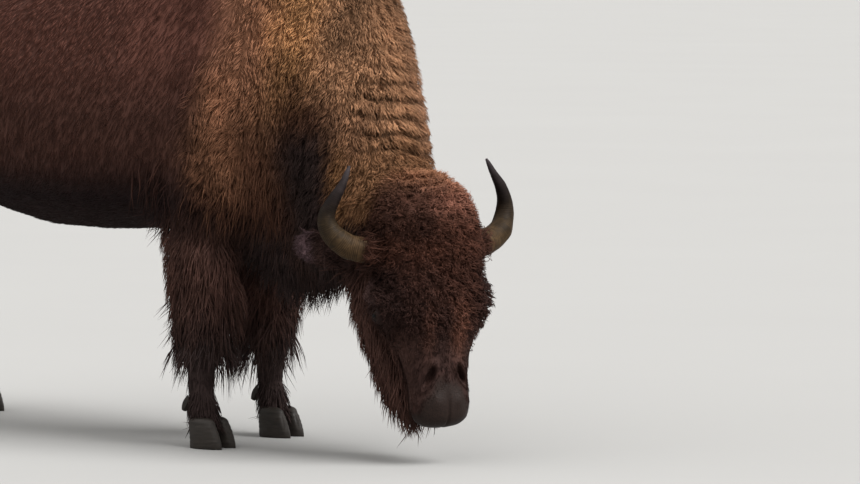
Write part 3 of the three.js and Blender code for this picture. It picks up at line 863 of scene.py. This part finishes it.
# Each piece of the coat: how thick it grows and what its locks look like. Lengths are in metres,
# angles in degrees, and the density is in locks for a square metre.
capeLook = {
    "density": 38500, "clump": 0.040, "turn": 14, "stray": 6, "rows": 3,
    "length": (0.026, 0.044), "rise": 0.024, "width": (0.0016, 0.0029), "swell": (0.7, 1.0, 0.92),
    "wave": 0.05, "turns": 1.1, "gather": 0.35, "droop": 0.05, "mottle": 0.12, "rootShade": 0.68,
}
maneLook = dict(
    capeLook, density=41500, clump=0.026, turn=12, stray=8, length=(0.026, 0.040),
    wave=0.10, turns=1.8,
)
curlLook = dict(
    capeLook, density=66000, clump=0.015, turn=60, stray=28, length=(0.018, 0.030), rise=0.0235,
    width=(0.0017, 0.0031), wave=0.20, turns=1.7, gather=0.4, droop=0.0, rootShade=0.72,
)
fringeLook = dict(
    curlLook, density=110000, clump=0.012, turn=26, stray=20, length=(0.046, 0.066), rise=0.054,
    width=(0.0017, 0.0030), wave=0.14, turns=1.8, gather=0.3, mottle=0.15, rootShade=0.55,
)
faceLook = {
    "density": 100000, "clump": 0.016, "turn": 14, "stray": 10, "rows": 1,
    "length": (0.014, 0.026), "rise": 0.008, "width": (0.0015, 0.0025), "swell": (1.0, 1.0, 0.8),
    "wave": 0.03, "turns": 0.5, "gather": 0.15, "droop": 0.0, "mottle": 0.14, "rootShade": 0.6,
}
earLook = dict(faceLook, density=90000, length=(0.012, 0.024), rise=0.005, clump=0.012)
earTuftLook = dict(
    faceLook, density=22000, length=(0.030, 0.050), rise=0.016, width=(0.0016, 0.0030),
    clump=0.014, turn=20, rows=3, gather=0.4,
)
flankLook = {
    "density": 24000, "clump": 0.030, "turn": 3, "stray": 5, "rows": 1,
    "length": (0.024, 0.042), "rise": 0.0055, "width": (0.0022, 0.0036), "swell": (1.0, 1.0, 0.8),
    "wave": 0.015, "turns": 0.5, "gather": 0.04, "droop": 0.0, "mottle": 0.025, "rootShade": 0.90,
}
legLook = dict(
    flankLook, density=40000, length=(0.014, 0.026), rise=0.004, width=(0.0018, 0.0030),
)
fetlockLook = dict(
    legLook, density=26000, length=(0.036, 0.058), rise=0.013, clump=0.012, turn=10, rows=3,
    gather=0.3,
)
beardLook = {
    "density": 28000, "clump": 0.022, "turn": 12, "stray": 9, "rows": 3,
    "length": (0.045, 0.085), "rise": 0.026, "width": (0.0020, 0.0036), "swell": (0.7, 1.0, 0.8),
    "wave": 0.06, "turns": 0.9, "gather": 0.4, "droop": 0.10, "mottle": 0.20, "rootShade": 0.6,
}
chapsLook = dict(beardLook, density=22000, clump=0.028, length=(0.050, 0.090))
brisketLook = dict(beardLook, density=9500, clump=0.026, rise=0.020, droop=0.55)
tuftLook = dict(beardLook, density=42000, clump=0.020, length=(0.05, 0.085), rise=0.010)

# Where a piece of the coat begins and where it is full: from the hoof line or the floor, in the
# head's frame, or from an eye.
coatEdges = {
    "neck": (0.28, 0.281), "belly": (-0.13, -0.08), "brisket": (0.75, 0.68),
    "fetlock": (0.150, 0.115), "crown": (0.265, 0.17), "face": (0.12, 0.20), "beard": (0.36, 0.30),
    "earRim": (0.16, 0.13), "eyeRing": (0.060, 0.036), "lids": (0.020, 0.026),
}


# How locks change from place to place: shorter and lower in a crease of the nape, and painted darker
# there as shade;
# shorter and lower where the mop of the crown runs out down the face. The chaps are fullest between the
# legs and longest at the hem, where they hang and don't stand out.
lockChanges = {
    "crease": {"shorter": 0.55, "lower": 0.75, "creaseShade": 0.85},
    "mopEnd": {"at": (0.15, 0.23), "shorter": 0.35, "lower": 0.60},
    "chaps": {"inside": (0.0, 0.7), "insideLonger": 0.45, "insideHigher": 1.0,
              "hem": (0.42, 0.28), "hemLonger": 0.50, "below": (0.05, 0.5), "belowLower": 0.6},
}


def coatPiece(name, share, look):
    roots = rootsWhere(share, look["density"])
    at, normal, zones = roots["at"], roots["normal"], roots["zones"]
    crease, mopEnd, chaps = (lockChanges[k] for k in ("crease", "mopEnd", "chaps"))
    creased = foldDepth(at) * zones["wool"]
    ending = zones["crown"] * ramp(roots["head"][:, 0], *mopEnd["at"])
    inside = ramp(-normal[:, 1] * np.sign(at[:, 1]), *chaps["inside"])
    longer = chaps["insideLonger"] * inside + chaps["hemLonger"] * ramp(at[:, 2], *chaps["hem"])
    higher = chaps["insideHigher"] * inside - chaps["belowLower"] * ramp(-normal[:, 2], *chaps["below"])
    roots["longer"] = (1 - crease["shorter"] * creased) * (1 - mopEnd["shorter"] * ending)
    roots["deeper"] = (1 - crease["lower"] * creased) * (1 - mopEnd["lower"] * ending)
    roots["longer"] *= 1 + zones["chaps"] * longer
    roots["deeper"] *= 1 + zones["chaps"] * higher
    # Painted shade: locks darker in the creases of the nape.
    tones = tonesAt(at, roots["head"], zones) * (1 - crease["creaseShade"] * creased)[:, None]
    return growLocks(name, roots, look, tones)


# The rings of hair round the roots of the horns: how far they reach, and the point they close on.
fringePlace = {"ring": (0.052, 0.040), "out": (0.085, 0.10), "middle": (0.004, -0.012)}


def hornFringe():  # hair that closes round the roots of the horns
    head = toHead(field["co"])
    axis = np.interp(np.abs(head[:, 1]), [0.115, 0.165], [0, 1])
    off = np.stack([head[:, 0] - 0.008 + 0.008 * axis, head[:, 2] + 0.008 + 0.010 * axis], axis=1)
    ring = ramp(np.linalg.norm(off, axis=1), *fringePlace["ring"])
    ring = ring * ramp(np.abs(head[:, 1]), *fringePlace["out"])
    roots = rootsWhere(ring * field["zones"]["crown"], fringeLook["density"])
    (x, y, z), middleAt = roots["head"].T, fringePlace["middle"]
    inward = unit(np.stack([middleAt[0] - x, 0 * y, middleAt[1] - z], axis=1)) @ headTurn.T
    inward -= roots["normal"] * (inward * roots["normal"]).sum(axis=1)[:, None]
    roots["lie"] = unit(inward)
    tones = tonesAt(roots["at"], roots["head"], roots["zones"])
    return growLocks("horn_fringe", roots, fringeLook, tones)


def makeCoat():
    co, zones = field["co"], field["zones"]
    head, edges = toHead(co), coatEdges
    x = co[:, 0] - hoofLine[0]
    left = (co[:, 1] > 0).astype(float)
    woolly = zones["wool"] * capeShare(co)
    smooth = zones["flank"] + zones["wool"] - woolly
    onNeck = ramp(x, *edges["neck"])
    bare = ramp(eyeDistance(head), *edges["eyeRing"])
    furred = 1 - padShare(head)
    crowned = zones["crown"] * ramp(head[:, 0], *edges["crown"]) * (1 - bare)
    facial = zones["crown"] * np.maximum(ramp(head[:, 0], *edges["face"]), bare) * furred
    facial = facial * ramp(eyeDistance(head), *edges["lids"])
    bearded = zones["beard"] + zones["jaw"] * ramp(head[:, 0], *edges["beard"])
    earRim = np.clip(zones["ear"], 0, 1) * ramp(np.abs(head[:, 1]), *edges["earRim"])
    inner = ramp(-field["normals"][:, 1] * np.sign(co[:, 1]), *lockChanges["chaps"]["inside"])
    under = ramp(-field["normals"][:, 2], 0.15, 0.55) * ramp(x, *edges["belly"])
    under = under * ramp(co[:, 2], *edges["brisket"])
    fetlock = zones["cannon"] * ramp(co[:, 2], *edges["fetlock"])
    pieces = []
    for side, share in (("left", left), ("right", 1 - left)):
        pieces += [
            coatPiece("cape_" + side, woolly * share * (1 - onNeck), capeLook),
            coatPiece("mane_" + side, woolly * share * onNeck, maneLook),
            coatPiece("flank_hair_" + side, smooth * share, flankLook),
        ]
    pieces += [
        coatPiece("crown_curls", crowned, curlLook),
        hornFringe(),
        coatPiece("face_hair", facial + zones["jaw"] * 0.6 * furred, faceLook),
        coatPiece("ear_hair", zones["ear"], earLook),
        coatPiece("ear_tufts", earRim, earTuftLook),
        coatPiece("beard_hair", bearded, beardLook),
        coatPiece("chaps_hair", zones["chaps"] * (0.9 + 0.7 * inner), chapsLook),
        coatPiece("brisket_hair", (zones["wool"] + zones["flank"]) * under, brisketLook),
        coatPiece("fetlock_hair", fetlock, fetlockLook),
        coatPiece("leg_hair", zones["cannon"] + zones["tail"], legLook),
        coatPiece("tail_hair", zones["tuft"], tuftLook),
    ]
    return pieces


coat = makeCoat()
report("coat grown")


# The hard parts: eyes, horns and hooves.
eyeShape = {
    "gap": 0.0004,  # between the ball and the lids
    "cornea": 0.0012,  # how far its middle stands out
    "rim": (0.0165, 0.0150), "iris": (0.0148, 0.0130), "pupil": (0.0085, 0.0042),
}
eyeColours = {
    "white": (0.060, 0.035, 0.026), "rim": (0.006, 0.003, 0.002),
    "iris": (0.010, 0.0045, 0.003), "pupil": (0.001, 0.001, 0.001),
}


def makeEye(name, side):
    radius = pose["eyeRadius"] - eyeShape["gap"]
    bpy.ops.mesh.primitive_uv_sphere_add(segments=64, ring_count=48, radius=radius)
    eye = bpy.context.object
    eye.name = eye.data.name = name
    ball = coords(eye)[:, [0, 2, 1]]  # a pole faces outwards
    front = ball[:, 1] > 0
    ball[:, 1] += eyeShape["cornea"] * bump(np.hypot(ball[:, 0], ball[:, 2]), 0, 0.010) * front
    setCoords(eye, fromHead((ball + (ex, ey + faceShape["eyeOut"], ez)) * (1, side, 1)))
    # A level pupil in a dark brown iris.
    r = np.hypot(ball[:, 0], ball[:, 2])
    level = (ball * (1, side, 1)) @ headTurn[2]
    flat = np.sqrt(np.maximum(r ** 2 - level ** 2, 0))
    wide, high = eyeShape["pupil"]
    tone = np.tile(eyeColours["white"], (len(ball), 1))
    for part, share in (
        ("rim", ramp(r, *eyeShape["rim"])),
        ("iris", ramp(r, *eyeShape["iris"])),
        ("pupil", ramp(np.hypot(flat / wide, level / high), 1.1, 0.9)),
    ):
        tone = tone + (np.array(eyeColours[part]) - tone) * (share * front)[:, None]
    paintPoints(eye, "tone", tone)
    inEditMode(eye, bpy.ops.mesh.normals_make_consistent, inside=False)
    bpy.ops.object.shade_smooth()
    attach(eye, "root")
    return eye


hornSettings = {
    # From root to tip, in the head's frame.
    "path": [
        (0.008, 0.115, -0.008), (0, 0.165, -0.018), (-0.009, 0.190, -0.031),
        (-0.028, 0.214, -0.032), (-0.045, 0.225, -0.044), (-0.068, 0.233, -0.045),
        (-0.092, 0.233, -0.040), (-0.110, 0.225, -0.028), (-0.135, 0.212, -0.016),
        (-0.156, 0.198, -0.011), (-0.180, 0.186, -0.009), (-0.189, 0.182, -0.0085),
    ],
    "voxel": 0.0032, "smoothing": 60, "swell": 0.0032, "tip": 0.010,
    "rings": 700, "ringHeight": 0.0005, "wobble": 0.0012,
}


def makeHorn(name):
    horn = mergedCopy(name)
    horn.name = horn.data.name = name + "_grown"
    inEditMode(horn, bpy.ops.mesh.tris_convert_to_quads)
    finished(horn, "REMESH", mode="VOXEL", voxel_size=hornSettings["voxel"], use_smooth_shade=True)
    finished(horn, "SMOOTH", factor=0.5, iterations=hornSettings["smoothing"])
    # How far along the horn each point is, from root to tip, for its rings and its colours.
    co = coords(horn)
    mirror = (1, 1 if name.endswith("left") else -1, 1)
    head = toHead(co) * mirror
    path = np.array(hornSettings["path"])
    steps = np.linalg.norm(np.diff(path, axis=0), axis=1)
    best, along = np.full(len(co), 9.0), np.zeros(len(co))
    for k, (a, b) in enumerate(zip(path[:-1], path[1:])):
        t = np.clip(((head - a) @ (b - a)) / ((b - a) @ (b - a)), 0, 1)
        gap = np.linalg.norm(head - a - t[:, None] * (b - a), axis=1)
        closer = gap < best
        best = np.where(closer, gap, best)
        along = np.where(closer, steps[:k].sum() + t * steps[k], along)
    share = along / steps.sum()
    wobble = hornSettings["wobble"] * wander(co, 0.05, 21)
    ridge = np.sin((along + wobble) * hornSettings["rings"] * (1 + share)) * ramp(share, 0.75, 0.15)
    co += normalsOf(horn) * (ridge * hornSettings["ringHeight"] + hornSettings["swell"])[:, None]
    tipWay = headTurn @ unit((path[-1] - path[-2]) * mirror)
    setCoords(horn, co + tipWay * (hornSettings["tip"] * ramp(share, 0.88, 1.0))[:, None])
    markPoints(horn, "along", share)
    bpy.ops.object.shade_smooth()
    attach(horn, "root")
    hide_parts(name)
    return horn


hoofSettings = {
    "bevel": 0.004, "edgeAngle": 35, "sole": 0.0025,
    "ridges": 520, "ridgeHeight": 0.0005, "waver": 2.2,
}


def makeHoof(name):
    hoof = mergedCopy(name)
    hoof.name = hoof.data.name = name + "_worn"
    # Rounded edges all round; the sole stays flat on the ground.
    finished(
        hoof, "BEVEL", width=hoofSettings["bevel"], segments=2, limit_method="ANGLE",
        angle_limit=math.radians(hoofSettings["edgeAngle"]),
    )
    finished(hoof, "SUBSURF", levels=2, render_levels=2)
    co = coords(hoof)
    if not name.startswith("dewclaw"):
        co[:, 2] = np.where(co[:, 2] < hoofSettings["sole"], 0, co[:, 2])
        turns = co[:, 2] * hoofSettings["ridges"] + hoofSettings["waver"] * wander(co, 0.06, 31)
        ridge = np.sin(turns) * ramp(co[:, 2], 0.008, 0.02)
        co += normalsOf(hoof) * (ridge * hoofSettings["ridgeHeight"])[:, None]
    setCoords(hoof, co)
    only(hoof)
    bpy.ops.object.shade_smooth()
    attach(hoof, "root")
    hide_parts(name)
    return hoof


eyes = [makeEye("eyeball_left", 1), makeEye("eyeball_right", -1)]
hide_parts("eye_left")
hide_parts("eye_right")
horns = [makeHorn("horn_left"), makeHorn("horn_right")]
hooves = [makeHoof(n) for n in sorted(nodes) if n.startswith(("hoof_", "dewclaw_"))]
report("eyes, horns and hooves made")


class Wire:  # a shader socket, so that sums of sockets read as sums
    def __init__(self, paint, socket):
        self.paint, self.socket = paint, socket

    def __add__(self, other):
        return self.paint.maths("ADD", self, other)

    def __sub__(self, other):
        return self.paint.maths("SUBTRACT", self, other)

    def __rsub__(self, other):
        return self.paint.maths("SUBTRACT", other, self)

    def __mul__(self, other):
        return self.paint.maths("MULTIPLY", self, other)

    __radd__ = __add__
    __rmul__ = __mul__


class Paint:  # a material; what is the same all over goes straight to the shader's sockets
    def __init__(self, name, **fixed):
        self.material = bpy.data.materials.new(name)
        self.material.use_nodes = True
        self.tree = self.material.node_tree
        self.shader = self.tree.nodes["Principled BSDF"]
        for key, value in fixed.items():
            self.shader.inputs[key.replace("_", " ")].default_value = value

    def node(self, kind, settings=None, values=(), out=0):
        node = self.tree.nodes.new("ShaderNode" + kind)
        for key, value in (settings or {}).items():
            if key == "stops":
                for k, (place, colour) in enumerate(value):
                    stop = node.color_ramp.elements[k] if k < 2 else node.color_ramp.elements.new(place)
                    stop.position, stop.color = place, (*colour, 1)
            else:
                setattr(node, key, value)
        for key, value in values.items() if isinstance(values, dict) else enumerate(values):
            if isinstance(value, Wire):
                self.tree.links.new(value.socket, node.inputs[key])
            else:
                node.inputs[key].default_value = value
        return Wire(self, node.outputs[out])

    def maths(self, operation, *values):
        return self.node("Math", {"operation": operation}, values)

    def mix(self, share, a, b, kind="MIX"):
        return self.node("Mix", {"data_type": "RGBA", "blend_type": kind}, {0: share, 6: a, 7: b}, 2)

    def place(self, scale=(1, 1, 1), turn=(0, 0, 0)):  # Object coordinates, turned and then scaled
        at = self.node("TexCoord", {}, {}, "Object")
        at = self.node("Mapping", {}, {"Vector": at, "Rotation": turn})
        return self.node("Mapping", {}, {"Vector": at, "Scale": scale})

    def noise(self, at, scale, detail=3, rough=0.55):
        values = {"Vector": at, "Scale": scale, "Detail": detail, "Roughness": rough}
        return self.node("TexNoise", {}, values)

    def marked(self, name, out="Color"):  # an attribute that the mesh carries
        return self.node("Attribute", {"attribute_name": name}, {}, out)

    def flecked(self, share, base, pattern):  # the base, in part multiplied by a pattern around 1
        return self.mix(share, base, self.mix(1, base, pattern, "MULTIPLY"))

    def bumps(self, height, strength, distance):
        return self.node("Bump", {}, {"Strength": strength, "Distance": distance, "Height": height})

    def feed(self, **wires):
        for key, value in wires.items():
            self.tree.links.new(value.socket, self.shader.inputs[key.replace("_", " ")])

    def dress(self, *objects):
        for o in objects:
            o.data.materials.clear()
            o.data.materials.append(self.material)


coatFinish = {"fleckSize": 150, "fleckShare": 0.45, "fleckGain": 1.9}
coatPaint = Paint("coat", Roughness=0.75, Specular_IOR_Level=0.10)
flecks = coatPaint.noise(coatPaint.place(), coatFinish["fleckSize"]) * coatFinish["fleckGain"]
coatPaint.feed(
    Base_Color=coatPaint.flecked(coatFinish["fleckShare"], coatPaint.marked("tone"), flecks)
)
coatPaint.dress(*coat)

skinFinish = {
    "hairs": (230, 230, 26), "slant": -30, "pebbles": 330, "pebbleHeight": 0.6,
    "patternShare": 0.6, "patternGain": 1.9, "rough": 0.78, "bareGloss": 0.22,
    "relief": (0.5, 0.002),  # strength and depth
}
skinPaint = Paint("skin", Specular_IOR_Level=0.12)
bare = skinPaint.marked("bare", "Fac")
slanted = skinPaint.place(skinFinish["hairs"], (0, math.radians(skinFinish["slant"]), 0))
cells = {"Vector": skinPaint.place(), "Scale": skinFinish["pebbles"]}
pebbles = skinPaint.node("TexVoronoi", {"feature": "SMOOTH_F1"}, cells, "Distance")
relief = skinPaint.noise(slanted, 1) * (1 - bare) + pebbles * bare * skinFinish["pebbleHeight"]
skinPaint.feed(
    Base_Color=skinPaint.flecked(
        skinFinish["patternShare"], skinPaint.marked("tone"), relief * skinFinish["patternGain"]
    ),
    Roughness=skinFinish["rough"] - bare * skinFinish["bareGloss"],
    Normal=skinPaint.bumps(relief, *skinFinish["relief"]),
)
skinPaint.dress(skin)

hornFinish = {
    "stops": [  # from root to tip
        (0.0, (0.034, 0.019, 0.009)), (0.25, (0.044, 0.026, 0.012)), (0.50, (0.022, 0.014, 0.007)),
        # The pale lilac-grey tip is partly worn horn and partly a painted highlight.
        (0.72, (0.012, 0.008, 0.007)), (0.88, (0.020, 0.014, 0.014)), (1.0, (0.052, 0.042, 0.044)),
    ],
    "streaks": 90, "blotches": 22, "blotchShift": 0.25,
    "rings": 420, "ringWaver": 9, "ringDepth": 1.15, "between": 0.50,
    "wornShare": 0.8, "wornGain": 2.2, "rough": 0.42, "streakRough": 0.3, "relief": (0.8, 0.001),
}
hornPaint = Paint("horn", Specular_IOR_Level=0.08)
along = hornPaint.marked("along", "Fac")
streaks = hornPaint.noise(hornPaint.place(), hornFinish["streaks"], 4)
blotch = hornPaint.noise(hornPaint.place(), hornFinish["blotches"])
shifted = along + (blotch - 0.5) * hornFinish["blotchShift"]
base = hornPaint.node("ValToRGB", {"stops": hornFinish["stops"]}, [shifted], "Color")
phase = along * hornFinish["rings"] + blotch * hornFinish["ringWaver"]
rings = hornPaint.maths("SINE", phase) * 0.5 + 0.5
worn = streaks * (hornFinish["between"] + rings * hornFinish["ringDepth"] * (1 - along))
hornPaint.feed(
    Base_Color=hornPaint.flecked(hornFinish["wornShare"], base, worn * hornFinish["wornGain"]),
    Roughness=hornFinish["rough"] + streaks * hornFinish["streakRough"],
    Normal=hornPaint.bumps(worn, *hornFinish["relief"]),
)
hornPaint.dress(*horns)

hoofFinish = {
    "stops": [(0.3, (0.006, 0.005, 0.004)), (0.7, (0.020, 0.015, 0.012))], "grain": (30, 30, 260),
    "dust": (0.055, 0.042, 0.030, 1), "dustShare": 0.26, "dustSize": 35,
    "rough": 0.35, "dustRough": 0.45, "relief": (0.5, 0.001),
}
hoofPaint = Paint("hoof", Specular_IOR_Level=0.25)
grain = hoofPaint.noise(hoofPaint.place(hoofFinish["grain"]), 1, 4)
dust = hoofPaint.noise(hoofPaint.place(), hoofFinish["dustSize"])
base = hoofPaint.node("ValToRGB", {"stops": hoofFinish["stops"]}, [grain], "Color")
hoofPaint.feed(
    Base_Color=hoofPaint.mix(dust * hoofFinish["dustShare"], base, hoofFinish["dust"]),
    Roughness=hoofFinish["rough"] + dust * hoofFinish["dustRough"],
    Normal=hoofPaint.bumps(grain, *hoofFinish["relief"]),
)
hoofPaint.dress(*hooves)

eyePaint = Paint("eye", Roughness=0.08, Specular_IOR_Level=0.25, IOR=1.25)
eyePaint.feed(Base_Color=eyePaint.marked("tone"))
eyePaint.dress(*eyes)

# The room: a pale floor, and large soft lights, far off, so that they light all of it alike.
roomSettings = {
    "floorSize": 240, "floorPattern": 0.6,
    "floorColours": [(0.303, 0.299, 0.291, 1), (0.318, 0.314, 0.306, 1)],
    "world": (1.0, 0.99, 0.97, 1), "worldStrength": 0.72, "lightDistance": 5,
    "lights": {
        "key": {"across": 0.85, "up": 1.0, "back": 0.50, "spread": 38, "strength": 4.9},
        "top": {"across": -0.35, "up": 1.0, "back": 0.20, "spread": 85, "strength": 1.6},
    },
}
bpy.ops.mesh.primitive_plane_add(size=roomSettings["floorSize"])
floor = bpy.context.object
floor.name = "floor"
floorPaint = Paint("floor", Roughness=0.85, Specular_IOR_Level=0.1)
pattern = floorPaint.noise(floorPaint.place(), roomSettings["floorPattern"])
floorPaint.feed(Base_Color=floorPaint.mix(pattern, *roomSettings["floorColours"]))
floorPaint.dress(floor)

scene.world = bpy.data.worlds.new("studio")
scene.world.use_nodes = True
backdrop = scene.world.node_tree.nodes["Background"]
backdrop.inputs[0].default_value = roomSettings["world"]
backdrop.inputs[1].default_value = roomSettings["worldStrength"]
scene.view_settings.view_transform = "Standard"
for name, light in roomSettings["lights"].items():
    way = light["across"] * right + np.array([0, 0, light["up"]]) - light["back"] * ahead
    place = hoofLine + roomSettings["lightDistance"] * way
    facing = Vector(-way).to_track_quat("-Z", "Y").to_euler()
    bpy.ops.object.light_add(type="SUN", location=place, rotation=facing)
    lamp = bpy.context.object
    lamp.name = name
    lamp.data.angle, lamp.data.energy = math.radians(light["spread"]), light["strength"]

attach(skin, "root")
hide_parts(*fleshNodes)
report("room set")


def trianglesOf(*objects):
    return sum(len(face.vertices) - 2 for o in objects for face in o.data.polygons)


shown = [o for o in scene.objects if o.type == "MESH" and not o.hide_render]
print("skin: %d triangles; whole model: %d" % (trianglesOf(skin), trianglesOf(*shown)))
